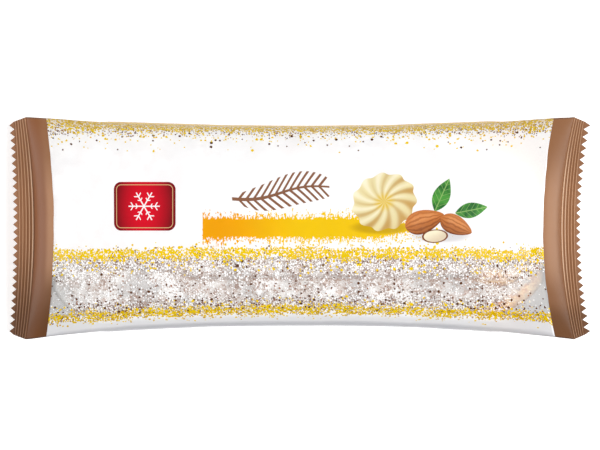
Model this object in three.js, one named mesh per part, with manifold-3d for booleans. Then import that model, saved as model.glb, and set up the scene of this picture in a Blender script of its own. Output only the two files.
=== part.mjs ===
// A stollen loaf sealed in a flow-wrap pack, modelled as one closed solid: the film tube lying
// snugly round the loaf, tucked in at its sides towards both ends, and closed by two crimped end
// seals with pinked edges. Along the base runs the long back seam, pressed flat.
//
// Units are millimetres. +X runs along the pack, +Y across it to the far side, +Z up. The origin is
// at the middle of the base. Run with the npm packages three and manifold-3d.

import * as THREE from "three";
import { mergeVertices } from "three/addons/utils/BufferGeometryUtils.js";
import Module from "manifold-3d";

// ---- driving dimensions ----

const endWidth = 130; // across an end seal
const packHeight = 54; // base to crown
const sideHeight = 21; // the widest level of the body
const sealHeight = 24; // an end seal's start, at mid-width
const sealSag = 4; // how much lower its two corners lie

const waist = { far: 5, near: 8 }; // how far each long side is drawn in at mid-length
const waistPower = { far: 1.7, near: 2.2 };
const roundness = { far: 2.9, near: 2.3, base: 4.5 }; // superellipse powers of the section
const baseFlattening = 1.16; // the lower half is drawn this much deeper, then cut flat

const sealStart = 160.2; // distance from the middle to an end seal, at its corners
const sealLength = 11; // of an end seal along its slope, without its teeth
const sealThickness = 0.9;
const toothDrop = 1.4;
const toothCount = 28;
const ridgeCount = 5;
const ridgeHeight = 0.9;
const cornerPull = 2.6; // how much an end seal narrows towards its teeth, on each side

// The two end seals, bowed inwards at mid-width. reach is their length seen from above and tooth
// that of the teeth, each given at mid-width and at the corners.
const ends = [
  { sign: -1, bow: 5.3, reach: [10.3, 7.3], tooth: [2.5, 2.9] },
  { sign: 1, bow: 8.1, reach: [9.5, 6.6], tooth: [2.5, 3.7] },
];
const bowFrom = 90; // where the bowing of the cross lines begins

const crownCamber = 3; // how much lower the crown is towards the ends than at mid-length
const crownRun = 105; // the crown starts to fall towards a seal here
const crownPowers = [5, 1.35];
const baseRun = 122; // the base starts to rise towards a seal here
const basePowers = [3, 1.35];

const tuckDepth = 9; // of the side folds, at the seals
const tuckFrom = 108; // where they begin

const seam = { length: 226, width: 14, offset: 1, grooveWidth: 1.2, grooveDepth: 0.6 };

const tubeRows = { middle: 14, end: 11 }; // rings in the straight middle and each sloping end
const tuckColumns = 2; // columns of points on each side of a fold's deepest line

// ---- small functions ----

const { abs, cos, max, min, sign, sin, sqrt, PI } = Math;
const quarter = toothCount / 2 + tuckColumns; // columns of points in a quarter of the section
const ringSize = 4 * quarter;
const clamp01 = (t) => min(1, max(0, t));
const lerp = (a, b, t) => a + (b - a) * t;
const smooth = (a, b, t) => {
  const s = clamp01((t - a) / (b - a));
  return s * s * (3 - 2 * s);
};
const falling = (r, [p, q]) => (1 - clamp01(r) ** p) ** (1 / q);

const endOf = (along) => ends[along < 0 ? 0 : 1];

// Half the width of the pack on the side of y's sign, at a distance along it.
function halfWidth(along, ySign) {
  const side = ySign > 0 ? "far" : "near";
  const drawn = 1 - min(1, abs(along) / sealStart) ** waistPower[side];
  return endWidth / 2 - waist[side] * drawn;
}

// The place along X of a cross line that meets the pack's corners at a distance along it.
function lineX(along, across) {
  const bow = endOf(along).bow * smooth(bowFrom, sealStart, abs(along));
  return along - sign(along) * bow * (1 - across * across);
}

// The level at which the upper and the lower film meet.
function meetingLevel(along, across) {
  const toEnd = smooth(tuckFrom, sealStart, abs(along));
  return lerp(sideHeight, sealHeight - sealSag * across * across, toEnd);
}

// A point of the film tube. turn goes round the section: 0 is the crown, 1 the far side,
// 2 the base and 3 the near side.
function tubePoint(along, turn) {
  const upper = turn <= 1 || turn >= 3;
  const ySign = turn <= 2 ? 1 : -1;
  const fromCrown = ySign > 0 ? turn : 4 - turn;
  const share = min(fromCrown, 2 - fromCrown); // 0 at the crown or base, 1 at the side
  const bulge = upper ? (ySign > 0 ? roundness.far : roundness.near) : roundness.base;

  const width = halfWidth(along, ySign);
  const tuck = smooth(tuckFrom, sealStart, abs(along));
  const outside = toothCount / 2 / quarter; // share of the quarter that stays outside the fold
  const round = width * sin((share * PI) / 2) ** (2 / bulge);
  const folded =
    share < outside
      ? (width * share) / outside
      : width - (tuckDepth * (share - outside)) / (1 - outside);
  const y = ySign * lerp(round, folded, tuck);
  const across = max(-1, min(1, y / width));

  const run = upper ? crownRun : baseRun;
  const fall = falling((abs(along) - run) / (sealStart - run), upper ? crownPowers : basePowers);
  const camber = crownCamber * (along / sealStart) ** 2;
  const depth = upper ? packHeight - sideHeight - camber : sideHeight * baseFlattening;
  const lift = (depth * fall + sealThickness / 2) * max(0, cos((share * PI) / 2)) ** (2 / bulge);
  const level = meetingLevel(along, across);
  const z = upper ? min(packHeight, level + lift) : max(0, level - lift);
  return new THREE.Vector3(lineX(along, across), y, z);
}

// A point of an end seal, a corrugated plate. out is 0 at its start, 1 at the roots of its teeth
// and 2 at their tips, ridge is the height of the corrugation there and layer runs from 1 on top
// to -1 below.
function sealPoint(end, across, out, ridge, layer) {
  const corner = across * across;
  const reach = lerp(...end.reach, corner);
  const droop = sqrt(sealLength ** 2 - reach ** 2);
  const inSeal = min(out, 1);
  const inTooth = max(out - 1, 0);
  const startX = sealStart - end.bow * (1 - corner);
  const midZ = sealHeight - sealSag * corner - droop * inSeal ** 1.15 - toothDrop * inTooth;
  return new THREE.Vector3(
    end.sign * (startX + reach * inSeal + lerp(...end.tooth, corner) * inTooth),
    across * (endWidth / 2 - cornerPull * inSeal),
    midZ + ridge + (layer * sealThickness) / 2,
  );
}

// ---- the surface, as rings of points from end to end ----

function tubeRing(along) {
  return Array.from({ length: ringSize }, (_, c) => tubePoint(along, c / quarter));
}

// A ring of an end seal. Its columns beyond the last tooth stand on the seal's narrow side.
function sealRing(end, out, ridge) {
  return Array.from({ length: ringSize }, (_, c) => {
    const column = c <= 2 * quarter ? c : 4 * quarter - c;
    const fromSide = quarter - column;
    const layer = max(-1, min(1, fromSide / tuckColumns));
    const across = min(1, (quarter - abs(fromSide)) / (toothCount / 2));
    return sealPoint(end, c <= 2 * quarter ? across : -across, out, ridge, layer);
  });
}

// The rings of an end seal, from its start to the roots of its teeth.
function sealRings(end) {
  const ridgeRows = 2 * ridgeCount;
  const rings = [sealRing(end, 0, 0)];
  for (let i = 1; i <= ridgeRows; i++) {
    const ridge = (i % 2 ? ridgeHeight : -ridgeHeight) / 2;
    rings.push(sealRing(end, i / (ridgeRows + 0.4), ridge));
  }
  rings.push(sealRing(end, 1, 0));
  return rings;
}

// Places along the pack for the tube's rings, closer together towards the seals.
function tubePlaces() {
  const { middle, end } = tubeRows;
  const half = [];
  for (let i = 0; i < middle / 2; i++) half.push((crownRun * i) / (middle / 2));
  for (let i = 0; i < end; i++) half.push(lerp(crownRun, sealStart, sin(((i / end) * PI) / 2)));
  return [...half.slice(1).reverse().map((x) => -x), ...half];
}

// The teeth of an end seal as pointed wedges on its outermost ring, whose first point is given.
function addTeeth(points, faces, end, first) {
  const half = toothCount / 2;
  // The points of the ring down the cut edge at a place between two teeth.
  const cutEdge = (place) => {
    if (abs(place) < half) return [place < 0 ? ringSize + place : place, 2 * quarter - place];
    const side = Array.from({ length: 2 * tuckColumns + 1 }, (_, i) => half + i);
    return place > 0 ? side : side.map((c) => ringSize - c);
  };
  for (let tooth = -half; tooth < half; tooth++) {
    const tip = points.length;
    points.push(sealPoint(end, (tooth + 0.5) / half, 2, 0, 0));
    const near = cutEdge(tooth).map((c) => first + c);
    const far = cutEdge(tooth + 1).map((c) => first + c);
    const added = [near[0], tip, far[0], near.at(-1), far.at(-1), tip];
    for (let i = 0; i + 1 < near.length; i++) added.push(near[i], near[i + 1], tip);
    for (let i = 0; i + 1 < far.length; i++) added.push(far[i], tip, far[i + 1]);
    faces.push(...(end.sign > 0 ? added : added.reverse()));
  }
}

function packGeometry() {
  const [left, right] = ends;
  const rings = [
    ...sealRings(left).reverse(),
    ...tubePlaces().map(tubeRing),
    ...sealRings(right),
  ];
  const points = rings.flat();
  const faces = [];
  for (let r = 0; r + 1 < rings.length; r++) {
    for (let c = 0; c < ringSize; c++) {
      const a = r * ringSize + c;
      const b = r * ringSize + ((c + 1) % ringSize);
      faces.push(a, a + ringSize, b, b, a + ringSize, b + ringSize);
    }
  }
  addTeeth(points, faces, left, 0);
  addTeeth(points, faces, right, (rings.length - 1) * ringSize);
  return new THREE.BufferGeometry().setFromPoints(points).setIndex(faces);
}

// ---- the back seam's grooves ----

const wasm = await Module();
wasm.setup();

function solidFrom(geometry) {
  const bare = new THREE.BufferGeometry()
    .setAttribute("position", geometry.getAttribute("position"))
    .setIndex(geometry.getIndex());
  const merged = mergeVertices(bare, 1e-4);
  return new wasm.Manifold(
    new wasm.Mesh({
      numProp: 3,
      vertProperties: new Float32Array(merged.attributes.position.array),
      triVerts: new Uint32Array(merged.index.array),
    }),
  );
}

function geometryFrom(solid) {
  const mesh = solid.getMesh();
  return new THREE.BufferGeometry()
    .setAttribute("position", new THREE.BufferAttribute(mesh.vertProperties, 3))
    .setIndex(new THREE.BufferAttribute(mesh.triVerts, 1));
}

let pack = solidFrom(packGeometry());
for (const side of [-1, 1]) {
  const groove = new THREE.BoxGeometry(seam.length, seam.grooveWidth, 2 * seam.grooveDepth);
  groove.translate(0, seam.offset + (side * seam.width) / 2, 0);
  pack = pack.subtract(solidFrom(groove));
}

const film = new THREE.MeshStandardMaterial({ color: 0xf4f3f0, roughness: 0.35, metalness: 0 });
const packMesh = new THREE.Mesh(geometryFrom(pack), film);
packMesh.name = "stollen_pack";

const model = new THREE.Group();
model.add(packMesh);
export default model;
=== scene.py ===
import math

import bpy
import numpy as np
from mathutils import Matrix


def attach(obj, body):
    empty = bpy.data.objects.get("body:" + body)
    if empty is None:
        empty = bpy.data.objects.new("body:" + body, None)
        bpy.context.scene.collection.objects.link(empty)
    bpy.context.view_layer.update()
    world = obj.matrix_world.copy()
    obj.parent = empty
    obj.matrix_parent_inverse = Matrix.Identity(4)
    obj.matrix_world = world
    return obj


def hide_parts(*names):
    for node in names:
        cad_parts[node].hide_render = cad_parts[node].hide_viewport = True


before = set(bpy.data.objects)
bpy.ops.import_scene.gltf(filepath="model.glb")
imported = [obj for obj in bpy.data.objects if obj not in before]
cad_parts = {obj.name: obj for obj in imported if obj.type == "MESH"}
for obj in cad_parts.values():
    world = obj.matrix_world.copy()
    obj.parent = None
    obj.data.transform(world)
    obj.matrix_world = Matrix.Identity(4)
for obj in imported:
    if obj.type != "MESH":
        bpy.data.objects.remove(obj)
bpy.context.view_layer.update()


def smooth(low, high, value):
    share = np.clip((value - low) / (high - low), 0, 1)
    return share * share * (3 - 2 * share)


def softNoise(a, b, size, seed):
    # lumps of about that size, between -1 and 1, over two coordinates in millimetres
    cells = 97  # the pattern repeats after so many
    table = np.random.default_rng(seed).uniform(-1, 1, (cells, cells))
    a, b = np.broadcast_arrays(a / size + 500.3, b / size + 500.7)
    cellA, cellB = np.floor(a).astype(int), np.floor(b).astype(int)
    partA, partB = a - cellA, b - cellB
    partA, partB = partA * partA * (3 - 2 * partA), partB * partB * (3 - 2 * partB)

    def corner(i, j):
        return table[(cellA + i) % cells, (cellB + j) % cells]

    low = corner(0, 0) * (1 - partA) + corner(1, 0) * partA
    high = corner(0, 1) * (1 - partA) + corner(1, 1) * partA
    return low * (1 - partB) + high * partB


def addMesh(name, points, faces, place=None):
    # points are in millimetres; place holds three numbers a point, which its material reads
    mesh = bpy.data.meshes.new(name)
    mesh.from_pydata((points / 1000).tolist(), [], faces)
    mesh.shade_smooth()
    if place is not None:
        attribute = mesh.attributes.new("place", "FLOAT_VECTOR", "POINT")
        attribute.data.foreach_set("vector", place.astype(np.float32).ravel())
    piece = bpy.data.objects.new(name, mesh)
    bpy.context.scene.collection.objects.link(piece)
    return piece


def gridFaces(rows, columns, first=0, closed=False):
    # faces of a grid of points stored row by row
    index = first + np.arange(rows * columns).reshape(rows, columns)
    if closed:
        index = np.hstack([index, index[:, :1]])
    return np.stack(
        [index[:-1, :-1], index[1:, :-1], index[1:, 1:], index[:-1, 1:]], -1
    ).reshape(-1, 4).tolist()


# the film's shape, in millimetres
filmShape = {
    "endWidth": 130, "packHeight": 54,
    "sideHeight": 21,                        # the body's widest level
    "sealHeight": 24, "sealSag": 4,          # where a seal starts, and how much its corners sag
    "waistFar": 5, "waistNear": 8,           # how far the long sides are drawn in
    "waistPowerFar": 1.7, "waistPowerNear": 2.2,
    "roundFar": 2.9, "roundNear": 2.3, "roundBase": 4.5,  # superellipse powers of the section
    "baseFlattening": 1.16,
    "sealStart": 160.2, "sealLength": 11, "sealThickness": 0.5, "toothDrop": 1.4,
    "bowFrom": 90,                           # the cross lines start to bow here
    "crownCamber": 3, "crownRun": 105, "crownPowers": (5, 1.35),
    "baseRun": 122, "basePowers": (3, 1.35),
    "tuckDepth": 9, "tuckFrom": 108,         # the folds in the sides, towards the seals
    "cornerPull": 2.6, "teeth": 28,
    "ridgePitch": 0.1923, "ridgeHeight": 0.9,  # the pitch is a share of the seal's length
    "baseLift": 0.5,                         # the base stands this high, on the back seam
    "unevenness": 0.35, "waveSizes": (34, 13),               # gentle waves of the film
    "creases": 0.3, "creaseSize": 7, "creaseStretch": 0.22,  # fine folds running into the seals
}
# the left and the right end seal; reach, seen from above, and tooth are given at mid-width and
# at the corners
filmEnds = {
    -1: {"bow": 5.3, "reach": (10.3, 7.3), "tooth": (2.5, 2.9)},
    1: {"bow": 8.1, "reach": (9.5, 6.6), "tooth": (2.5, 3.7)},
}
filmMesh = {
    "perTooth": 4, "sideColumns": 8, "tubeRows": 236, "sealRows": 58, "toothRows": 4,
    "evenTo": 100,    # the tube's rings are evenly spaced up to here and closer beyond
    "lastRing": 0.4,  # between the last ring of the tube and the seal
    "arcSteps": 601,  # points that each arc of a ring is measured with
}
lipShare = 14 / 16  # the folds in the sides begin at this share of a quarter of the section


def tubeCurve(along, turn):
    # the film tube: turn is 0 at the crown, 1 at the far side, 2 under the base, 3 at the near side
    s = filmShape
    along, turn = np.broadcast_arrays(np.asarray(along, float), np.asarray(turn, float))
    upper = (turn <= 1) | (turn >= 3)
    far = turn <= 2
    fromCrown = np.where(far, turn, 4 - turn)
    share = np.minimum(fromCrown, 2 - fromCrown)
    bulge = np.where(upper, np.where(far, s["roundFar"], s["roundNear"]), s["roundBase"])
    away = np.abs(along)
    waist = np.where(far, s["waistFar"], s["waistNear"])
    waistPower = np.where(far, s["waistPowerFar"], s["waistPowerNear"])
    width = s["endWidth"] / 2 - waist * (1 - np.minimum(1, away / s["sealStart"]) ** waistPower)
    tuck = smooth(s["tuckFrom"], s["sealStart"], away)
    angle = share * math.pi / 2
    rounded = width * np.sin(angle) ** (2 / bulge)
    folded = np.where(
        share < lipShare,
        width * share / lipShare,
        width - s["tuckDepth"] * (share - lipShare) / (1 - lipShare),
    )
    y = np.where(far, 1, -1) * (rounded + (folded - rounded) * tuck)
    across = np.clip(y / width, -1, 1)

    run = np.where(upper, s["crownRun"], s["baseRun"])
    rest = np.clip((away - run) / (s["sealStart"] - run), 0, 1)
    crownFall = (1 - rest ** s["crownPowers"][0]) ** (1 / s["crownPowers"][1])
    baseFall = (1 - rest ** s["basePowers"][0]) ** (1 / s["basePowers"][1])
    camber = s["crownCamber"] * (along / s["sealStart"]) ** 2
    depth = np.where(
        upper,
        (s["packHeight"] - s["sideHeight"] - camber) * crownFall,
        s["sideHeight"] * s["baseFlattening"] * baseFall,
    )
    lift = (depth + s["sealThickness"] / 2) * np.maximum(0, np.cos(angle)) ** (2 / bulge)
    sealLevel = s["sealHeight"] - s["sealSag"] * across ** 2
    level = s["sideHeight"] + (sealLevel - s["sideHeight"]) * tuck
    z = np.where(
        upper, np.minimum(s["packHeight"], level + lift), np.maximum(s["baseLift"], level - lift)
    )
    bow = np.where(along < 0, filmEnds[-1]["bow"], filmEnds[1]["bow"])
    bow = bow * smooth(s["bowFrom"], s["sealStart"], away)
    return along - np.sign(along) * bow * (1 - across ** 2), y, z


def sealRow(side, out, share, layer, edge):
    # one line of an end seal: out is 0 at its start and 1 at the roots of its teeth,
    # share runs across the seal from -1 to 1 and edge is 0 at a root and 1 at a tooth's tip
    s, end = filmShape, filmEnds[side]
    corner = share ** 2
    reach = end["reach"][0] + (end["reach"][1] - end["reach"][0]) * corner
    tooth = end["tooth"][0] + (end["tooth"][1] - end["tooth"][0]) * corner
    droop = np.sqrt(s["sealLength"] ** 2 - reach ** 2)
    ridge = -s["ridgeHeight"] / 2 * math.cos(2 * math.pi * out / s["ridgePitch"])
    ridge *= float(smooth(0, 0.07, out) * (1 - smooth(0.93, 1, out)))
    x = s["sealStart"] - end["bow"] * (1 - corner) + reach * out + tooth * edge
    y = share * (s["endWidth"] / 2 - s["cornerPull"] * out)
    z = s["sealHeight"] - s["sealSag"] * corner - droop * out ** 1.15 - s["toothDrop"] * edge
    return np.stack([side * x, y, z + ridge + layer * s["sealThickness"] / 2], -1)


def buildFilm():
    # rings from tooth to tooth, each from the back seam over the near side, crown and far side
    # to the back seam again
    perQuarter = filmMesh["perTooth"] * filmShape["teeth"] // 2
    sideColumns = filmMesh["sideColumns"]
    fromSeam = [
        ("base", -2, -2 + lipShare, perQuarter), ("side", -2 + lipShare, -1, sideColumns),
        ("side", -1, -lipShare, sideColumns), ("top", -lipShare, 0, perQuarter),
        ("top", 0, lipShare, perQuarter), ("side", lipShare, 1, sideColumns),
        ("side", 1, 2 - lipShare, sideColumns), ("base", 2 - lipShare, 2, perQuarter),
    ]
    half, evenTo = filmMesh["tubeRows"] // 2, filmMesh["evenTo"]
    evenRows = half // 2
    sloping = np.sin(np.linspace(0, math.pi / 2, half - evenRows)) ** 0.8
    away = np.concatenate([
        np.linspace(0, evenTo, evenRows, endpoint=False),
        evenTo + (filmShape["sealStart"] - filmMesh["lastRing"] - evenTo) * sloping,
    ])
    places = np.concatenate([-away[:0:-1], away])

    rings, around = [], []
    for place in places:
        ring, arcs = [], []
        for kind, low, high, count in fromSeam:
            turns = np.linspace(low, high, filmMesh["arcSteps"])
            x, y, z = tubeCurve(place, np.where(turns < 0, turns + 4, turns))
            arc = np.concatenate([[0], np.cumsum(np.hypot(np.diff(y), np.diff(z)))])
            wanted = np.linspace(0, arc[-1], count + 1)
            if ring:
                wanted = wanted[1:]
            ring.append(np.stack([np.interp(wanted, arc, c) for c in (x, y, z)], -1))
            start = arcs[-1][-1] if arcs else 0
            arcs.append(start + wanted)
        ring, arcs = np.concatenate(ring), np.concatenate(arcs)
        middle = (len(arcs) - 1) // 2
        rings.append(ring)
        around.append(arcs - arcs[middle])

    # the columns of an end seal: how far across, which layer, and root or tip of a tooth
    columns = rings[0].shape[0]
    number = np.arange(columns) - (columns - 1) // 2
    across, layer = np.zeros(columns), np.zeros(columns)
    for i, n in enumerate(number):
        m = abs(n)
        if m <= perQuarter:
            across[i], layer[i] = m / perQuarter, 1
        elif m < perQuarter + 2 * sideColumns:
            across[i], layer[i] = 1, 1 - (m - perQuarter) / sideColumns
        else:
            across[i], layer[i] = (2 * (perQuarter + sideColumns) - m) / perQuarter, -1
        across[i] *= 1 if n > 0 else -1
    inTooth = np.abs(across) * perQuarter % filmMesh["perTooth"] / filmMesh["perTooth"]
    wedge = np.minimum(inTooth, 1 - inTooth) * 2
    wedge[np.abs(layer) < 1] = 0

    def sealRings(side):
        made = []
        for out in np.linspace(0, 1, filmMesh["sealRows"]):
            made.append((sealRow(side, out, across, layer, 0), out * filmShape["sealLength"]))
        for step in range(1, filmMesh["toothRows"] + 1):
            edge = wedge * step / filmMesh["toothRows"]
            made.append((sealRow(side, 1, across, layer, edge), filmShape["sealLength"] + 3 * edge))
        return made

    left, right = sealRings(-1)[::-1], sealRings(1)
    points = np.stack([r for r, _ in left] + rings + [r for r, _ in right])
    alongFilm = np.stack(
        [-filmShape["sealStart"] - np.broadcast_to(o, columns) for _, o in left]
        + [np.full(columns, p) for p in places]
        + [filmShape["sealStart"] + np.broadcast_to(o, columns) for _, o in right]
    )
    aroundFilm = np.stack([around[0]] * len(left) + around + [around[-1]] * len(right))

    # gentle waves and creases, pushed along the surface's own direction and only inwards
    s = filmShape
    normal = np.cross(np.gradient(points, axis=0), np.gradient(points, axis=1))
    normal /= np.maximum(np.linalg.norm(normal, axis=2, keepdims=True), 1e-9)
    heart = [0, 0, s["sideHeight"]]
    outward = np.sign((normal * (points - heart)).sum(2)[len(points) // 2].mean())
    ends = np.abs(alongFilm)
    large, small = s["waveSizes"]
    waves = softNoise(alongFilm, aroundFilm, large, 3)
    waves = waves + 0.4 * softNoise(alongFilm, aroundFilm, small, 4)
    waves *= s["unevenness"] * (1 - smooth(140, 160, ends))
    waves = np.minimum(waves, 0)
    folds = softNoise(alongFilm * s["creaseStretch"], aroundFilm, s["creaseSize"], 5)
    folds *= smooth(112, 150, ends) * s["creases"] * (1 - smooth(157, 160, ends))
    upper = smooth(s["baseLift"], 12, points[..., 2])  # the base stays flat
    points = points + outward * normal * ((waves + np.minimum(folds, 0.1)) * upper)[..., None]

    faces = gridFaces(len(points), columns)
    # the thin cut edges of both end seals
    middle = (columns - 1) // 2
    for ring, flip in ((0, True), (len(points) - 1, False)):
        for n in range(-perQuarter, perQuarter):
            below = [2 * middle - k if k > 0 or (k == 0 and n >= 0) else -k for k in (n + 1, n)]
            face = [ring * columns + k for k in (middle + n, middle + n + 1, *below)]
            faces.append(face[::-1] if flip else face)
    place = np.stack([alongFilm, aroundFilm, np.zeros_like(alongFilm)], -1)
    return addMesh("printedFilm", points.reshape(-1, 3), faces, place.reshape(-1, 3))


film = buildFilm()
print("film made", len(film.data.vertices), "points")


# the back seam, a folded strip under the base
seamStrip = {
    "width": 14, "offset": 1, "thickness": 0.35, "ribPitch": 1.6, "ribHeight": 0.04,
    "endGap": 0.5,        # between the strip and an end seal
    "sunk": 0.02,         # its upper side lies in the film
    "printPlace": 150.0,  # where its material reads the print, all of it plain
    "rows": 330, "columns": 9,
}


def buildSeam():
    s = seamStrip
    reach = filmShape["sealStart"] - s["endGap"]
    offsets = np.linspace(-0.5, 0.5, s["columns"]) * s["width"] + s["offset"]
    turns = np.concatenate([np.linspace(1.2, 2, 500), np.linspace(2, 2.8, 500)[1:]])
    ringSize = 2 * s["columns"]
    rows, marks = [], []
    for place in np.linspace(-reach, reach, s["rows"]):
        x, y, z = tubeCurve(place, turns)
        order = np.argsort(y)
        line = [np.interp(offsets, y[order], c[order]) for c in (x, z)]
        rib = s["ribHeight"] * math.cos(2 * math.pi * place / s["ribPitch"])
        under = line[1] - s["thickness"] + rib
        top = np.stack([line[0], offsets, line[1] + s["sunk"]], -1)
        low = np.stack([line[0], offsets, under], -1)
        rows.append(np.concatenate([low, top[::-1]]))
        marks.append(np.full((ringSize, 3), (place, s["printPlace"], 0.0)))
    faces = gridFaces(len(rows), ringSize, closed=True)
    faces += [list(range(ringSize)), [len(rows) * ringSize - 1 - k for k in range(ringSize)]]
    return addMesh("backSeam", np.concatenate(rows), faces, np.concatenate(marks))


seam = buildSeam()
print("back seam made")


# the loaf, in millimetres
loafShape = {
    "halfWidth": 55.5, "offset": 1.0, "base": 2.6, "sideHeight": 10,
    "gap": 1.6, "bulge": 0.8,          # below the film, and how far lumps may rise into the gap
    "leftFrom": -102, "leftRun": 52, "leftPower": 3.0,
    "rightFrom": 80, "rightRun": 72.5, "rightPower": 2.85,
    "rightEnd": 151.2,                 # cut short here, as the film closes beyond
    "furrowY": -30.5, "furrowDepth": 3.6, "furrowWidth": (5.0, 1.8),  # below and above it
    # where the furrow swings to the far side, from one place along the loaf to another
    "furrowSwings": ((9, 119, 138), (-2.2, 98, 114), (6, -56, -80)),
    "furrowWander": 1.6, "wanderSize": 34,
    "lumps": ((1.3, 17, 21), (0.9, 8, 22), (0.5, 3.4, 23), (0.25, 1.6, 24)),  # height, size, seed
    "underGap": (0.6, 0.9),            # of the underside and the rim, above the lower film
    "rows": 420, "columns": 190, "underColumns": 38,
}


def filmLevel(x, y, above):
    # height of the film's upper or lower side at a place seen from above
    x, y = (a.astype(float) for a in np.broadcast_arrays(x, y))
    along = x.copy()
    for _ in range(3):
        low, high = np.zeros_like(x), np.full_like(x, lipShare)
        for _ in range(12):
            share = (low + high) / 2
            side = np.where(y < 0, -share, share)
            madeX, madeY, level = tubeCurve(along, side % 4 if above else 2 - side)
            tooWide = np.abs(madeY) > np.abs(y)
            low, high = np.where(tooWide, low, share), np.where(tooWide, share, high)
        along += x - madeX
    return level


def loafPlan(x, y):
    # 0 well inside the loaf's outline seen from above and 1 on it
    s = loafShape
    rest = np.where(
        x < s["leftFrom"], (s["leftFrom"] - x) / s["leftRun"],
        np.maximum(0, x - s["rightFrom"]) / s["rightRun"],
    )
    power = np.where(x < 0, s["leftPower"], s["rightPower"])
    return ((y - s["offset"]) / s["halfWidth"]) ** 2 + np.clip(rest, 0, 1) ** power


def beyondFurrow(x, y):
    # how far a place lies beyond the fold along the near side of the loaf
    s = loafShape
    swing = sum(far * smooth(low, high, x) for far, low, high in s["furrowSwings"])
    return y - s["furrowY"] - swing - s["furrowWander"] * softNoise(x, 0 * x, s["wanderSize"], 11)


def loafTop(x, y):
    s = loafShape
    plan = np.clip(loafPlan(x, y), 0, 1)
    under = filmLevel(x, y, True) - s["gap"]
    away = beyondFurrow(x, y)
    furrow = s["furrowDepth"] * np.exp(-(away / np.where(away < 0, *s["furrowWidth"])) ** 2)
    bumps = sum(high * softNoise(x, y, size, seed) for high, size, seed in s["lumps"])
    height = np.maximum(under - s["sideHeight"], 0.5) * (1 - plan ** 16) ** (1 / 3)
    z = s["sideHeight"] + height + (bumps - furrow) * smooth(0, 8, height)
    return np.minimum(z, under + s["bulge"])


def buildLoaf():
    # rings along the loaf, closer together towards its ends, each over the top and back below
    s = loafShape
    turns = np.linspace(0, math.pi, s["rows"])
    low, high = s["leftFrom"] - s["leftRun"], s["rightEnd"]
    stations = (low + high) / 2 - (high - low) / 2 * np.cos(turns)
    stations = 0.55 * stations + 0.45 * np.linspace(low, high, s["rows"])
    stations = np.clip(stations, low + 0.02, high - 0.02)[:, None]
    edge = s["halfWidth"] * np.sqrt(np.maximum(0, 1 - loafPlan(stations, s["offset"])))
    over = np.sin(np.linspace(-1, 1, s["columns"]) * math.pi / 2)[None]
    y = s["offset"] + edge * over
    top = np.stack([np.broadcast_to(stations, y.shape), y, loafTop(stations, y)], -1)
    underGap, rimGap = s["underGap"]
    top[..., 2] = np.maximum(top[..., 2], filmLevel(stations, y, False) + rimGap)
    back = np.linspace(1, -1, s["underColumns"] + 2)[None, 1:-1]
    y = s["offset"] + edge * back * 0.985
    z = s["base"] + (s["sideHeight"] - s["base"]) * np.abs(back) ** 5
    z = np.maximum(z, filmLevel(stations, y, False) + underGap)
    bottom = np.stack([np.broadcast_to(stations, y.shape), y, z], -1)
    rings = np.concatenate([top, bottom], 1)
    columns = rings.shape[1]
    faces = gridFaces(s["rows"], columns, closed=True)
    faces += [list(range(columns)), [s["rows"] * columns - 1 - k for k in range(columns)]]
    x, y = rings[..., 0], rings[..., 1]
    # for the material: how far beyond the fold, how far inside the outline, and the right end
    place = np.stack([beyondFurrow(x, y), 1 - loafPlan(x, y), smooth(96, 118, x)], -1)
    return addMesh("stollenLoaf", rings.reshape(-1, 3), faces, place.reshape(-1, 3))


loaf = buildLoaf()
print("loaf made", len(loaf.data.vertices), "points")


class Field:
    # a number that varies over a surface, so that masks can be written as formulas
    def __init__(self, tree, socket):
        self.tree, self.socket = tree, socket

    def calc(self, operation, *others):
        node = self.tree.nodes.new("ShaderNodeMath")
        node.operation = operation
        for entry, value in zip(node.inputs, (self, *others)):
            if isinstance(value, Field):
                self.tree.links.new(value.socket, entry)
            else:
                entry.default_value = value
        return Field(self.tree, node.outputs[0])

    def __add__(self, other):
        return self.calc("ADD", other)

    def __sub__(self, other):
        return self.calc("SUBTRACT", other)

    def __mul__(self, other):
        return self.calc("MULTIPLY", other)

    def __truediv__(self, other):
        return self.calc("DIVIDE", other)

    def __pow__(self, other):
        return self.calc("POWER", other)

    def __lt__(self, other):
        return self.calc("LESS_THAN", other)

    def __gt__(self, other):
        return self.calc("GREATER_THAN", other)

    def __abs__(self):
        return self.calc("ABSOLUTE")

    def flipped(self):
        # one minus this
        return self.calc("MULTIPLY_ADD", -1.0, 1.0)

    def atMost(self, other):
        return self.calc("MINIMUM", other)

    def atLeast(self, other):
        return self.calc("MAXIMUM", other)

    def ease(self, low, high, start=0.0, end=1.0):
        node = self.tree.nodes.new("ShaderNodeMapRange")
        node.interpolation_type = "SMOOTHSTEP"
        self.tree.links.new(self.socket, node.inputs[0])
        for entry, value in zip(node.inputs[1:5], (low, high, start, end)):
            entry.default_value = value
        return Field(self.tree, node.outputs[0])

    def hill(self, foot, top, topEnd, footEnd):
        # rises from foot to top and falls from topEnd to footEnd
        return self.ease(foot, top) * self.ease(topEnd, footEnd, 1.0, 0.0)


def newMaterial(name):
    material = bpy.data.materials.new(name)
    material.use_nodes = True
    tree = material.node_tree
    shader = tree.nodes["Principled BSDF"]
    return material, tree, shader


def toLinear(colour):
    # from a painter's 0 to 255
    parts = [c / 255 for c in colour]
    return (*[p / 12.92 if p <= 0.04045 else ((p + 0.055) / 1.055) ** 2.4 for p in parts], 1.0)


def mixColour(tree, under, over, mask):
    node = tree.nodes.new("ShaderNodeMix")
    node.data_type = "RGBA"
    for entry, value in ((node.inputs[0], mask), (node.inputs[6], under), (node.inputs[7], over)):
        if isinstance(value, Field):
            tree.links.new(value.socket, entry)
        elif isinstance(value, bpy.types.NodeSocket):
            tree.links.new(value, entry)
        else:
            entry.default_value = value
    return node.outputs[2]


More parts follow.
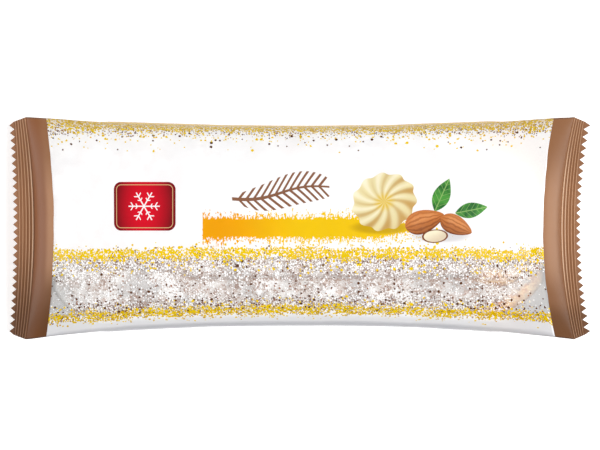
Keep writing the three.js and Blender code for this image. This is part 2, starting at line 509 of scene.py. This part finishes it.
def noiseField(tree, vector, size, detail=2.0, roughness=0.5):
    node = tree.nodes.new("ShaderNodeTexNoise")
    node.inputs["Scale"].default_value = 1 / size
    node.inputs["Detail"].default_value = detail
    node.inputs["Roughness"].default_value = roughness
    tree.links.new(vector, node.inputs["Vector"])
    return Field(tree, node.outputs["Fac"])


printColours = {
    # the film, and the haze of its unprinted strip, tinted as painted shade over the empty corners
    "paper": (250, 250, 251), "edgeShade": (158, 158, 166),
    "shadedBareFilm": (197, 196, 195), "coolCornerShade": (216, 223, 227), "greyCornerShade": (175, 176, 168),
    # the ends: their brown print, and colours for its painted shade and painted highlights
    "brown": (138, 95, 64), "shadedBrown": (82, 49, 23), "warmShadedBrown": (112, 58, 22),
    "highlightBrown": (184, 142, 110), "glintBrown": (230, 197, 168),
    # the specks, and a shaded yellow for painted shade
    "yellow": (233, 200, 0), "deepYellow": (233, 191, 0), "shadedYellow": (196, 156, 0),
    "darkDots": (88, 50, 24), "brownDots": (141, 89, 56), "greyDots": (156, 136, 124),
    # the bar, the badge and the twig
    "orange": (236, 162, 0), "barYellow": (238, 197, 0), "barShadow": (166, 130, 4),
    "red": (220, 14, 40), "darkRed": (125, 17, 26), "gold": (216, 179, 127),
    "twig": (137, 94, 70),
    # the picture
    "cream": (231, 219, 169), "creamShade": (198, 160, 92), "creamLight": (247, 240, 210),
    "butter": (226, 190, 48), "softShadow": (186, 184, 188),
    "almond": (202, 122, 60), "almondShade": (122, 62, 24), "almondLight": (232, 160, 98),
    "kernel": (224, 208, 180),
    "leaf": (75, 153, 58), "leafShade": (32, 101, 39), "leafRib": (137, 182, 100),
}


class Print:
    # the film's print, laid on in the film's own millimetres: u along the pack and v across it,
    # from the middle of the face round the sides
    def __init__(self, tree):
        self.tree = tree
        node = tree.nodes.new("ShaderNodeAttribute")
        node.attribute_name = "place"
        parts = tree.nodes.new("ShaderNodeSeparateXYZ")
        tree.links.new(node.outputs["Vector"], parts.inputs[0])
        self.place = node.outputs["Vector"]
        self.u, self.v = Field(tree, parts.outputs[0]), Field(tree, parts.outputs[1])
        self.colour = toLinear(printColours["paper"])
        self.hides = None  # how much the ink hides of what lies behind

    def paint(self, mask, colour, ink=1.0):
        over = toLinear(printColours[colour]) if isinstance(colour, str) else colour
        self.colour = mixColour(self.tree, self.colour, over, mask)
        if ink:
            self.hides = self.hides.atLeast(mask * ink)

    def blend(self, first, second, share):
        first, second = (toLinear(printColours[c]) for c in (first, second))
        return mixColour(self.tree, first, second, share)

    def local(self, centre, turn=0.0):
        # coordinates about a centre, turned by some degrees
        du, dv = self.u - centre[0], self.v - centre[1]
        if not turn:
            return du, dv
        c, s = math.cos(math.radians(turn)), math.sin(math.radians(turn))
        return du * c + dv * s, dv * c - du * s

    def dots(self, spacing, radii, shift, density):
        # loose dots, at most one to a cell of about that spacing; density(u, v, lumps) is the
        # chance of a dot, taken where the dot's middle is
        tree = self.tree
        shiftV = shift * 0.7
        move = tree.nodes.new("ShaderNodeVectorMath")
        move.inputs[1].default_value = (shift, shiftV, 0)
        tree.links.new(self.place, move.inputs[0])
        cells = tree.nodes.new("ShaderNodeTexVoronoi")
        cells.voronoi_dimensions = "2D"
        cells.inputs["Scale"].default_value = 1 / spacing
        tree.links.new(move.outputs[0], cells.inputs["Vector"])
        chance = tree.nodes.new("ShaderNodeSeparateColor")
        tree.links.new(cells.outputs["Color"], chance.inputs[0])
        first, second, third = (Field(tree, chance.outputs[k]) for k in range(3))
        middle = tree.nodes.new("ShaderNodeSeparateXYZ")
        tree.links.new(cells.outputs["Position"], middle.inputs[0])
        atU = Field(tree, middle.outputs[0]) - shift
        atV = Field(tree, middle.outputs[1]) - shiftV
        lumps = noiseField(tree, cells.outputs["Position"], windowPrint["clumpSize"], 2, 0.6)
        radius = second * second * (radii[1] - radii[0]) + radii[0]
        inside = Field(tree, cells.outputs["Distance"]) * spacing < radius
        return inside * (first < density(atU, atV, lumps)), third


windowPrint = {
    "upper": -15.0, "lower": -51.2, "sag": 4.6,  # the clear strip's edges and the lower one's bow
    "step": 1.3,                                 # of the strip's edges near the left end
    "from": 148.2,                               # the brown ends begin here
    "whiteInk": 0.95, "clear": 0.16,             # how much they hide
    "hazyEnds": 0.24, "hazyRight": 0.08,         # more towards both ends and at the right one
    "glow": 0.36,                                # share of light that comes through the white
    "rag": 5, "ragSize": 1.3,                    # of the white's edges
    "clump": 3, "clumpSize": 14,                 # of these edges and of all the specks
}

# the layers of dots, each with its spacing, its smallest and largest radius, and a shift
dotLayers = {
    "white": ((1.4, (0.32, 0.8), 3.1), (1.0, (0.22, 0.5), 17.3)),
    "darkDots": (1.3, (0.26, 0.58), 29.7), "brownDots": (1.5, (0.3, 0.66), 41.9),
    "greyDots": (1.2, (0.25, 0.55), 49.3), "bigDots": (2.6, (0.45, 0.9), 57.1),
    "yellow": ((1.5, (0.42, 0.9), 73.3), (1.2, (0.3, 0.68), 89.9), (2.5, (0.5, 1.1), 97.7)),
    "bar": ((1.1, (0.25, 0.55), 113.9), (1.7, (0.3, 0.8), 131.3)),
}

# where dots gather and painted shades lie: a band rises between its first two levels across the
# film, falls between its last two, and has a strength
printBands = {
    "brownStrip": (-53, -47, -20, -13, 0.055), "brownLow": (-54.5, -52, -46, -39, 1.0),
    "brownUpper": (-25, -17, -14, -9, 0.23), "brownFar": (54, 61, 64, 69, 0.4),
    "bigLow": (-53, -49, -43, -33, 0.38), "bigStrip": (-47, -41, -24, -15, 0.1),
    "bigFar": (44, 53, 66, 76, 0.2),
    "yellowUpper": (-18.2, -16.4, -13.6, -11.2, 2.0), "looseUpper": (-30, -20, -12, -7, 0.1),
    "yellowLow": (-54.5, -52.3, -48.8, -45.8, 1.0), "looseLow": (-60, -53, -47, -39, 0.12),
    "yellowFar": (58.5, 63.5, 86, 96, 1.2), "looseFar": (49, 60, 66, 80, 0.16),
    "strayFar": (40, 54, 60, 66, 0.02),
    "nearShade": (-115, -67, -64.5, -56, 1.0), "stripShade": (-115, -62, -57, -52, 0.27),
    "endShade": (-115, -62, -54, -51, 0.3), "farShade": (54, 64, 92, 100, 0.07),
    "farPaintedShade": (61, 67, 92, 100, 0.23), "innerPaintedShade": (65, 69, 92, 100, 0.27),
}


def band(level, name):
    *places, strength = printBands[name]
    return level.hill(*places) * strength


def sagged(u, v, share=1.0):
    # the strip's lower edge bows down towards both ends, with a step near the left one
    bow = windowPrint["sag"] * share / 145 ** 2
    return v + u * u * bow + u.ease(-112, -98, windowPrint["step"] * share, 0.0)


def overLoaf(u, low):
    # fades out where the loaf's ends leave the strip's lower corners empty
    right = u > 0.0
    return (abs(u) - (low + 20.0) * (right * 0.32 + 0.65) + right * 6.5).ease(146.5, 154, 1.0, 0.0)


def whiteChance(u, v, lumps):
    low = sagged(u, v)
    edges = low.ease(-30, -17, 0.22, 0.85).atLeast(low.ease(-35, -48, 0.22, 0.75))
    return (edges + lumps * 0.6 - 0.3) * (overLoaf(u, low) * 0.9 + 0.1)


def brownChance(u, v, lumps):
    low, top = sagged(u, v), sagged(u, v, 0.3)
    strip = band(low, "brownStrip")
    strip = strip + band(low, "brownLow") * abs(u).ease(90, 140, 0.36, 0.7)
    inner = strip * (overLoaf(u, low).atLeast(low.ease(-46, -50)) * 0.9 + 0.1)
    edges = band(top, "brownUpper") + band(v, "brownFar")
    return (inner + edges) * (lumps * 3.2 - 0.8) * u.ease(120, 145, 1.0, 1.7)


def bigBrownChance(u, v, lumps):
    low = sagged(u, v)
    strip = band(low, "bigLow") + band(low, "bigStrip")
    return (strip + band(v, "bigFar")) * (lumps * 2.0 - 0.2)


def yellowChance(u, v, lumps):
    wander = lumps * 12 - 6.2
    low, top = sagged(u, v) + wander, sagged(u, v, 0.2) + wander
    upper = band(top, "yellowUpper") + band(top, "looseUpper")
    lower = (band(low, "yellowLow") + band(low, "looseLow")) * u.ease(100, 130, 1.0, 0.75)
    edge = (band(v, "yellowFar") + band(v, "looseFar")) * abs(u).ease(95, 140, 1.0, 0.55)
    edge = edge + band(v, "strayFar")
    return (upper + edge) * (lumps * 1.8) + lower * (lumps * 2.9 - 0.62)


def makeFilmMaterial():
    material, tree, shader = newMaterial("printedFilmInk")
    p = Print(tree)
    u, v = p.u, p.v

    # white ink: solid over the face and below the strip, breaking up into specks at its edges
    w = windowPrint
    rag = noiseField(tree, p.place, w["ragSize"], 3) * w["rag"] - w["rag"] / 2
    clump = noiseField(tree, p.place, w["clumpSize"], 1) * w["clump"] - w["clump"] / 2
    solidUp = v + rag + clump > w["upper"] - 1.5
    solidLow = sagged(u, v) - rag * 0.6 < w["lower"] + 1.0
    p.hides = solidUp.atLeast(solidLow) * w["whiteInk"]
    # painted shade: the unprinted strip's haze greys towards both ends, cooler at the right corner
    # and greyer at the left one
    p.paint(p.hides.flipped() * abs(u).ease(60, 140, 0.2, 0.5), "shadedBareFilm", ink=0.0)
    p.paint(p.hides.flipped() * u.ease(122, 142) * 0.6, "coolCornerShade", ink=0.0)
    p.paint(p.hides.flipped() * u.ease(-142, -124, 0.28, 0.0), "greyCornerShade", ink=0.0)
    for layer in dotLayers["white"]:
        white, _ = p.dots(*layer, whiteChance)
        p.paint(white, "paper", w["whiteInk"])

    # painted shade: below the strip the white turns a little grey as it goes down the near side
    low = sagged(u, v)
    shade = band(low, "nearShade") * abs(u).ease(80, 140, 0.78, 0.66)
    shade = shade.atLeast(band(low, "stripShade"))
    shade = shade.atLeast(band(low, "endShade") * abs(u).ease(104, 128))
    p.paint(shade, "edgeShade", ink=0.0)

    # brown and yellow specks in the strip, along its edges and along the far edge of the face
    for colour in ("darkDots", "brownDots", "greyDots"):
        specks, _ = p.dots(*dotLayers[colour], brownChance)
        p.paint(specks, colour)
    specks, _ = p.dots(*dotLayers["bigDots"], bigBrownChance)
    p.paint(specks, "darkDots")
    for layer in dotLayers["yellow"]:
        specks, third = p.dots(*layer, yellowChance)
        bright = p.blend("yellow", "deepYellow", third.ease(0.6, 1.0))
        # painted shade: some specks deepen towards the far edge and in the lower band, where the
        # film turns away
        deeper = third.ease(0.25, 0.95) * v.ease(52, 62).atLeast(low.ease(-46, -50))
        p.paint(specks, mixColour(tree, bright, toLinear(printColours["shadedYellow"]), deeper))

    # down the far side the specks close up into plain yellow
    farEdge = noiseField(tree, p.place, 1.6, 2) * 7 + v - abs(u).ease(105, 140, 0.0, 6.0) > 72.4
    p.paint(farEdge * (v < 96.0), "deepYellow")
    # painted shade: a shaded yellow and a little grey laid over the far edge
    p.paint(band(v, "farPaintedShade") + band(v, "innerPaintedShade"), "shadedYellow", ink=0.0)
    p.paint(band(v, "farShade"), "edgeShade", ink=0.0)

    paintBar(p)
    paintBadge(p)
    paintTwig(p)
    paintPicture(p)
    paintEnds(p)

    tree.links.new(p.colour, shader.inputs["Base Color"])
    haze = (u > 0.0) * w["hazyRight"] + w["hazyEnds"]
    bare = abs(u).ease(112, 146) * haze + w["clear"]
    alpha = p.hides + p.hides.flipped() * bare
    tree.links.new(alpha.socket, shader.inputs["Alpha"])
    tree.links.new(abs(u).ease(144, 152, 0.22, 0.45).socket, shader.inputs["Roughness"])
    shader.inputs["IOR"].default_value = 1.47
    shader.inputs["Specular IOR Level"].default_value = 0.25

    # the fine knurl of the seals and a slight unevenness elsewhere
    knurlU, knurlV = (axis * (2 * math.pi / pitch) for axis, pitch in ((u, 1.1), (v, 1.5)))
    knurl = (knurlU + knurlV).calc("SINE") * (knurlU - knurlV).calc("SINE")
    onSeal = abs(u).ease(160, 161)
    height = knurl * onSeal * 0.1 + noiseField(tree, p.place, 7, 2) * 0.2
    bump = tree.nodes.new("ShaderNodeBump")
    bump.inputs["Strength"].default_value = 0.5
    bump.inputs["Distance"].default_value = 0.001
    tree.links.new(height.socket, bump.inputs["Height"])
    tree.links.new(bump.outputs[0], shader.inputs["Normal"])

    # light also comes through the white film, so that it isn't dark inside the pack
    through = tree.nodes.new("ShaderNodeBsdfTranslucent")
    tree.links.new(p.colour, through.inputs["Color"])
    both = tree.nodes.new("ShaderNodeMixShader")
    pale = abs(u) < w["from"]
    tree.links.new((alpha * pale * w["glow"]).socket, both.inputs[0])
    tree.links.new(shader.outputs[0], both.inputs[1])
    tree.links.new(through.outputs[0], both.inputs[2])
    tree.links.new(both.outputs[0], tree.nodes["Material Output"].inputs["Surface"])
    return material


# places across the film, along it, or along a seal as a share of its length, for the brown ends'
# painted
# shade and painted highlights: each list rises between its first two and falls between its last two
endPaintedLight = {
    "shadeNear": (-125, -66, -60, 4), "shadeCorner": (-125, -60, -54, -42),
    "shadeFar": (16, 46, 70, 120),
    "warmShadeLine": (-161.5, -159.8, -155, -149.5),
    "leftFoldHighlight": (-154.0, -151.0, -149.0, -146.0), "rightFoldHighlight": (147.0, 153.0, 156.5, 159.5),
    "foldHighlightRun": (-40, -18, 16, 50), "glintRun": (-50, -14, 24, 60),
    "ridges": (0.03, 0.06, 0.96, 1.0),
    "firstRidgeGlint": (0.04, 0.09, 0.11, 0.16), "secondRidgeGlint": (0.22, 0.28, 0.3, 0.36),
}


def paintEnds(p):
    # the brown ends, with painted shade deeper towards both sides of the pack and a little between
    # the seals' ridges, and painted highlights paler along the seals' ridges
    e, u, v = endPaintedLight, p.u, p.v
    left, right = u < 0.0, u > 0.0
    paintedShade = v.hill(*e["shadeNear"]) * (left * 0.45 + 0.5) + v.hill(*e["shadeFar"]) * 0.22
    paintedShade = paintedShade + v.hill(*e["shadeCorner"]) * right * 0.3
    out = (abs(u) - filmShape["sealStart"]) * (1 / filmShape["sealLength"])
    wave = (out * (2 * math.pi / filmShape["ridgePitch"])).calc("COSINE")
    onSeal = out.hill(*e["ridges"])
    paintedShade = paintedShade + (wave * 0.5 + 0.5) * onSeal * 0.03
    brown = p.blend("brown", "shadedBrown", paintedShade.atMost(1.0))
    # a warmer, darker painted shade in the dull band before each seal
    warm = u.hill(*e["warmShadeLine"]) * (paintedShade * -0.5 + 0.62)
    brown = mixColour(p.tree, brown, toLinear(printColours["warmShadedBrown"]), warm)
    # painted highlights: paler along the body's folds at mid-width and along the ridges, most on the
    # innermost one
    fold = (u.hill(*e["leftFoldHighlight"]) + u.hill(*e["rightFoldHighlight"])) * 0.28
    ridgeHighlight = (wave * -0.5 + 0.5) ** 4 * onSeal * (paintedShade * -0.6 + 0.8 + right * 0.2)
    ridgeHighlight = ridgeHighlight * out.ease(0.3, 1.0, 1.0, 0.75) + fold * v.hill(*e["foldHighlightRun"])
    brown = mixColour(p.tree, brown, toLinear(printColours["highlightBrown"]), ridgeHighlight)
    ridgeGlint = out.hill(*e["firstRidgeGlint"]) * 0.58 + out.hill(*e["secondRidgeGlint"]) * (right * 0.2 + 0.1)
    ridgeGlint = ridgeGlint * v.hill(*e["glintRun"])
    brown = mixColour(p.tree, brown, toLinear(printColours["glintBrown"]), ridgeGlint)
    edge = right * v.ease(20, 60, 0.9, 0.0) + windowPrint["from"]
    p.paint(abs(u) > edge, brown)


barPrint = {
    "left": -56.6, "right": 66, "middle": 0.2, "half": 5.0,  # the solid bar
    "fringe": 8.5, "spike": 1.0,                            # its frosted edges
}


def paintBar(p):
    b = barPrint
    u, v, tree = p.u, p.v, p.tree
    away = abs(v - b["middle"])
    stretch = tree.nodes.new("ShaderNodeVectorMath")
    stretch.operation = "MULTIPLY"
    stretch.inputs[1].default_value = (1, 0.3, 1)
    tree.links.new(p.place, stretch.inputs[0])
    spikes = noiseField(tree, stretch.outputs[0], b["spike"], 2, 0.6).ease(0.4, 0.72)
    tufts = noiseField(tree, stretch.outputs[0], 4.2, 1).ease(0.35, 0.7, 0.35, 1.0)
    along = u.ease(b["right"] - 26, b["right"] + 12, 1.0, 0.0)
    reach = (spikes * tufts * b["fringe"] + b["half"]) * along
    p.paint((away < reach) * (u > b["left"]), p.blend("orange", "barYellow", u.ease(-50, 6)))

    def spatter(au, av, lumps):
        near = abs(av - b["middle"]).ease(4, 11, 0.8, 0.0)
        late = au.ease(b["right"] - 10, b["right"] + 36, 1.0, 0.0)
        low = av.ease(-3, 7, 1.0, 0.6).atLeast(0.0)
        return near * late * low * (au > b["left"]) * (lumps * 1.6)

    for layer in dotLayers["bar"]:
        specks, _ = p.dots(*layer, spatter)
        p.paint(specks, p.blend("orange", "barYellow", u.ease(-50, 6)))


badgePrint = {
    "centre": (-90.7, 12.8), "half": (18.4, 14.2), "corner": 4.5, "frame": 1.7, "frameLine": 0.22,
    # a snow crystal: its arms' length and half width, and their barbs' places, lengths and widths
    "arm": (9.2, 0.36), "barbs": ((6.4, 2.3, 0.36), (3.9, 1.5, 0.34)), "slant": 0.6,
}


def paintBadge(p):
    b = badgePrint
    du, dv = p.local(b["centre"])
    past = [(abs(d) - (h - b["corner"])).atLeast(0.0) for d, h in zip((du, dv), b["half"])]
    rim = (past[0] * past[0] + past[1] * past[1]).calc("SQRT") - b["corner"]
    shade = (du * du * 0.0036 + dv * dv * 0.0012).atMost(1.0)
    p.paint(rim < 0.0, p.blend("red", "darkRed", shade))
    p.paint(abs(rim + b["frame"]) < b["frameLine"], "gold")
    # a plain snow crystal of six like arms
    far = (du * du + dv * dv).calc("SQRT")
    sector = dv.calc("ARCTAN2", du) + math.radians(390)
    sector = sector.calc("MODULO", math.radians(60)) - math.radians(30)
    outward, aside = far * sector.calc("COSINE"), abs(far * sector.calc("SINE"))
    crystal = (aside < b["arm"][1]) * (outward < b["arm"][0])
    for place, length, width in b["barbs"]:
        barb = (abs(outward - aside * b["slant"] - place) < width) * (aside < length)
        crystal = crystal.atLeast(barb)
    p.paint(crystal, "paper")


twigPrint = {
    "centre": (-11.2, 20.6), "half": 28.5, "turn": 7.0, "sway": 1.8,
    "needles": 9.5, "pitch": 4.3, "needleWidth": 0.85, "needleSlant": 0.85,
}


def paintTwig(p):
    b = twigPrint
    du, dv = p.local(b["centre"], b["turn"])
    side = dv - (du * (math.pi / b["half"])).calc("SINE") * b["sway"]
    root = du - abs(side) * b["needleSlant"]  # where a needle through here leaves the stem
    taper = (root * root * (-1 / b["half"] ** 2) + 1.0).atLeast(0.0).calc("SQRT")
    stem = abs(side) < (du.ease(-29, 29, 1.0, 0.55) * (abs(du) < b["half"]))
    needle = abs((root + 100.0).calc("MODULO", b["pitch"]) - b["pitch"] / 2)
    needles = (needle < b["needleWidth"]) * (abs(side) < taper * b["needles"])
    p.paint(stem.atLeast(needles * (abs(root + 1.0) < b["half"] - 2.5)), "twig")


# an almond, a kernel or a leaf has its centre, its turn in degrees, half its length and half its
# width; a shadow has its centre, how fast it fades along and across, and its strength
picturePrint = {
    "rosette": {"centre": (49.0, 15.5), "radius": 18.5, "ridges": 11, "turn": 20, "squash": 1.14},
    "rosetteShadow": ((47, 0.5), 0.0026, 0.05, (0.3, 1.1, 0.55, 0.0)),
    "almondShadow": ((82, -4.5), 0.0028, 0.06, (0.3, 1.2, 0.5, 0.0)),
    "almonds": (((72.5, 4.2), 18, 11.8, 6.6), ((91.0, 1.6), -24, 10.2, 5.5)),
    "kernel": ((78.5, -4.6), 4, 7.6, 3.9),
    "leaves": (((82.6, 19.4), 66, 10.5, 4.9), ((100.4, 10.6), 10, 10.5, 4.4)),
}


def paintShadow(p, name, colour):
    centre, along, across, fade = picturePrint[name]
    du, dv = p.local(centre)
    p.paint((du * du * along + dv * dv * across).ease(*fade), colour, ink=0.0)


def paintPicture(p):
    tree = p.tree
    for centre, turn, half, width in picturePrint["leaves"]:
        along, aside = p.local(centre, turn)
        share = along / half
        outline = (share * share).flipped().atLeast(0.0) * (share * -0.25 + 1.0) * width
        rib = (abs(aside) < 0.28).atLeast(
            abs((along - abs(aside) * 0.9 + 50.0).calc("MODULO", 3.4) - 1.7) < 0.14
        )
        tone = noiseField(tree, p.place, 7, 2).ease(0.35, 0.65)
        p.paint(abs(aside) < outline, p.blend("leaf", "leafShade", tone))
        p.paint((abs(aside) < outline) * rib, "leafRib")

    rose = picturePrint["rosette"]
    du, dv = p.local(rose["centre"], rose["turn"])
    dv = dv * rose["squash"]
    far = (du * du + dv * dv).calc("SQRT")
    turn = dv.calc("ARCTAN2", du)
    swirl = turn * float(rose["ridges"]) + far * 0.3
    ridge = swirl.calc("SINE")
    scallop = far - ridge * 0.8
    paintShadow(p, "rosetteShadow", "barShadow")
    # as if piped: its ridges and its domed rim are drawn lit from the upper left
    slope = swirl.calc("COSINE") * (dv * 0.5 + du * 0.86) / far.atLeast(1.0)
    dome = (dv * 0.86 - du * 0.5) * far * (1 / rose["radius"] ** 2)
    light = ridge * 0.2 - slope * 0.26 + dome * 0.3 + far.ease(8, 18, 0.5, 0.42)
    cream = p.blend("creamShade", "cream", light.ease(0.0, 0.55))
    cream = mixColour(tree, cream, toLinear(printColours["creamLight"]), light.ease(0.5, 0.95))
    p.paint(scallop < rose["radius"], cream)
    p.paint(far.ease(2.5, 8, 0.85, 0.0) * light.ease(1.0, 0.2, 0.5, 1.0), "butter", ink=0.0)

    paintShadow(p, "almondShadow", "softShadow")
    for centre, turn, half, width in picturePrint["almonds"]:
        along, aside = p.local(centre, turn)
        share = along / half
        outline = (share * share).flipped().atLeast(0.0) ** 0.6 * (share * -0.32 + 1.0) * width
        across = aside / outline.atLeast(0.3)
        grain = noiseField(tree, p.place, 4.5, 2) * 7.0 + across * 15.0
        groove = grain.calc("SINE").ease(-0.3, 1.0, 0.0, 0.42)
        shade = groove + across * -0.4 + abs(across).ease(0.7, 1.0, 0.1, 0.55)
        skin = p.blend("almond", "almondShade", shade.atLeast(0.0).atMost(1.0))
        gleam = across.hill(-0.25, 0.25, 0.45, 0.85) * share.hill(-0.95, -0.4, 0.3, 0.9)
        gleam = gleam * groove.ease(0.0, 0.4, 0.6, 0.1)
        skin = mixColour(tree, skin, toLinear(printColours["almondLight"]), gleam)
        p.paint(abs(aside) < outline, skin)
    centre, turn, half, width = picturePrint["kernel"]
    along, aside = p.local(centre, turn)
    share = (along / half) ** 2 + (aside / width) ** 2
    p.paint(share < 1.0, "almondShade")
    p.paint(share < 0.74, p.blend("kernel", "creamLight", (aside + along * -0.4).ease(-3, 4)))


filmInk = makeFilmMaterial()
film.data.materials.append(filmInk)
seam.data.materials.append(filmInk)

loafLook = {
    "colours": {
        "sugar": (212, 209, 206), "thinSugar": (194, 184, 178),
        "crumb": (160, 137, 123), "crust": (130, 90, 65),
        "bakedEnd": (255, 214, 154), "bakedSpots": (206, 134, 76),
        "dampSugar": (176, 172, 170), "toastedCrumb": (176, 140, 120), "sugarHeapAndLight": (236, 235, 234),
    },
    # the sizes of its noises, in millimetres
    "lumps": (15, 3), "blotches": (5, 3), "speckle": (1.3, 2), "grain": (0.6, 2), "crisp": (3.4, 2),
    # larger patches, each with its size, the noise level where it starts and how strong it is
    "patches": (
        ("dampSugar", 21, 0.5, 0.8), ("toastedCrumb", 6.1, 0.57, 0.6), ("sugarHeapAndLight", 17, 0.53, 0.9),
    ),
    "roughness": 0.85, "bump": 0.6,
}


def makeLoafMaterial():
    material, tree, shader = newMaterial("sugaredCrust")
    place = tree.nodes.new("ShaderNodeTexCoord").outputs["Object"]
    node = tree.nodes.new("ShaderNodeAttribute")
    node.attribute_name = "place"
    parts = tree.nodes.new("ShaderNodeSeparateXYZ")
    tree.links.new(node.outputs["Vector"], parts.inputs[0])
    beyond, rim, right = (Field(tree, parts.outputs[k]) for k in range(3))
    look = {name: toLinear(colour) for name, colour in loafLook["colours"].items()}

    def noise(size, detail):
        return noiseField(tree, place, size / 1000, detail, 0.6)

    lumps, blotches, speckle, grain, crisp = (
        noise(*loafLook[name]) for name in ("lumps", "blotches", "speckle", "grain", "crisp")
    )
    # above about 0.5 the sugar lies thin; the colour also darkens along the fold and above it
    line = beyond.hill(-1.3, -0.4, 0.5, 1.8)
    fold = line * (right * 0.2 + 0.1) + beyond.hill(-0.5, 3, 12, 24) * 0.04
    cover = lumps * 0.5 + blotches * 0.5 + fold + beyond.hill(-9, -5, -1.5, 0) * 0.015
    colour = mixColour(tree, look["sugar"], look["thinSugar"], cover.ease(0.42, 0.56))
    for name, size, start, strength in loafLook["patches"]:
        patch = noise(size, 2).ease(start, start + 0.1, 0.0, strength)
        colour = mixColour(tree, colour, look[name], patch)
    # the left end is painted paler near its outline, as thick sugar and as painted light where its
    # surface curves away, and the right one is paler within its rim
    heapedAndLit = (rim + blotches * 0.4 - 0.2).ease(0.04, 0.26, 0.9, 0.0) * right.flipped()
    heapedAndLit = heapedAndLit + rim.hill(0.2, 0.3, 0.42, 0.56) * right * 0.5
    colour = mixColour(tree, colour, look["sugarHeapAndLight"], heapedAndLit)
    bare = (speckle + cover * 0.9 - heapedAndLit * 0.1).ease(0.98, 1.08)
    brown = (grain + blotches * 0.6).ease(0.72, 0.9)
    crumb = mixColour(tree, look["crumb"], look["crust"], brown)
    colour = mixColour(tree, colour, crumb, bare)
    # the baked rim of the right-hand end, sugared over in places
    baked = mixColour(tree, look["bakedEnd"], look["bakedSpots"], (speckle + crisp).ease(0.96, 1.14))
    rim = (rim + blotches * 0.5 - 0.25).ease(0.16, 0.34, 1.0, 0.0) * crisp.ease(0.32, 0.46, 0.5, 1.0)
    warm = line * 0.7 + beyond.hill(0, 1.5, 6, 10) * 0.5
    colour = mixColour(tree, colour, baked, warm.atLeast(rim) * right)
    # darker, in the crust's colour, along the fold at the right end
    foldDarkening = beyond.hill(-1.9, -0.9, -0.1, 0.6) * right * crisp.ease(0.38, 0.5, 0.35, 0.9)
    colour = mixColour(tree, colour, look["crust"], foldDarkening)
    tree.links.new(colour, shader.inputs["Base Color"])
    shader.inputs["Roughness"].default_value = loafLook["roughness"]
    shader.inputs["Specular IOR Level"].default_value = 0.2
    bump = tree.nodes.new("ShaderNodeBump")
    bump.inputs["Strength"].default_value = loafLook["bump"]
    bump.inputs["Distance"].default_value = 0.0008
    tree.links.new((speckle + grain * 0.6).socket, bump.inputs["Height"])
    tree.links.new(bump.outputs[0], shader.inputs["Normal"])
    return material


loaf.data.materials.append(makeLoafMaterial())
print("materials made")


# floor, light and camera
studio = {
    "floor": (0.9, 0.9, 0.9), "floorReach": 4.0,
    "floorGlow": 0.37, "sky": 0.3, "lampSize": 1.0,  # the floor glows like a light table
    "lamps": {
        "leftSoftbox": {"place": (-1.474, 0.03, 1.032), "power": 19.5},
        "rightSoftbox": {"place": (0.761, -0.03, 1.631), "power": 36},
    },
    # of the camera, in millimetres: the width it sees at that level, and how far above it stands
    "frameWidth": 350.6, "level": 22, "distance": 6000, "offset": 1.9,
}


def buildStudio():
    floorMesh = bpy.data.meshes.new("floor")
    reach = studio["floorReach"]
    corners = [(-reach, -reach, 0), (reach, -reach, 0), (reach, reach, 0), (-reach, reach, 0)]
    floorMesh.from_pydata(corners, [], [(0, 1, 2, 3)])
    floor = bpy.data.objects.new("floor", floorMesh)
    bpy.context.scene.collection.objects.link(floor)
    material, _, shader = newMaterial("paleFloor")
    shader.inputs["Base Color"].default_value = (*studio["floor"], 1)
    shader.inputs["Roughness"].default_value = 0.8
    shader.inputs["Specular IOR Level"].default_value = 0.1
    shader.inputs["Emission Color"].default_value = (1, 1, 1, 1)
    shader.inputs["Emission Strength"].default_value = studio["floorGlow"]
    floorMesh.materials.append(material)

    world = bpy.data.worlds.new("softSky")
    world.use_nodes = True
    sky = world.node_tree.nodes["Background"]
    sky.inputs["Color"].default_value = (1, 1, 1, 1)
    sky.inputs["Strength"].default_value = studio["sky"]
    bpy.context.scene.world = world

    for name, lamp in studio["lamps"].items():
        light = bpy.data.lights.new(name, "AREA")
        light.energy, light.size = lamp["power"], studio["lampSize"]
        softbox = bpy.data.objects.new(name, light)
        softbox.location = lamp["place"]
        softbox.rotation_euler = softbox.location.to_track_quat("Z", "Y").to_euler()
        bpy.context.scene.collection.objects.link(softbox)

    camera = bpy.data.cameras.new("camera")
    camera.lens = 36 * studio["distance"] / studio["frameWidth"]
    camera.clip_end = 100
    view = bpy.data.objects.new("camera", camera)
    view.location = (0, studio["offset"] / 1000, (studio["distance"] + studio["level"]) / 1000)
    bpy.context.scene.collection.objects.link(view)
    bpy.context.scene.camera = view
    bpy.context.scene.view_settings.view_transform = "Standard"


buildStudio()
print("studio set")

for piece in (film, seam):
    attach(piece, "root")
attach(loaf, "root")
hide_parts("stollen_pack")
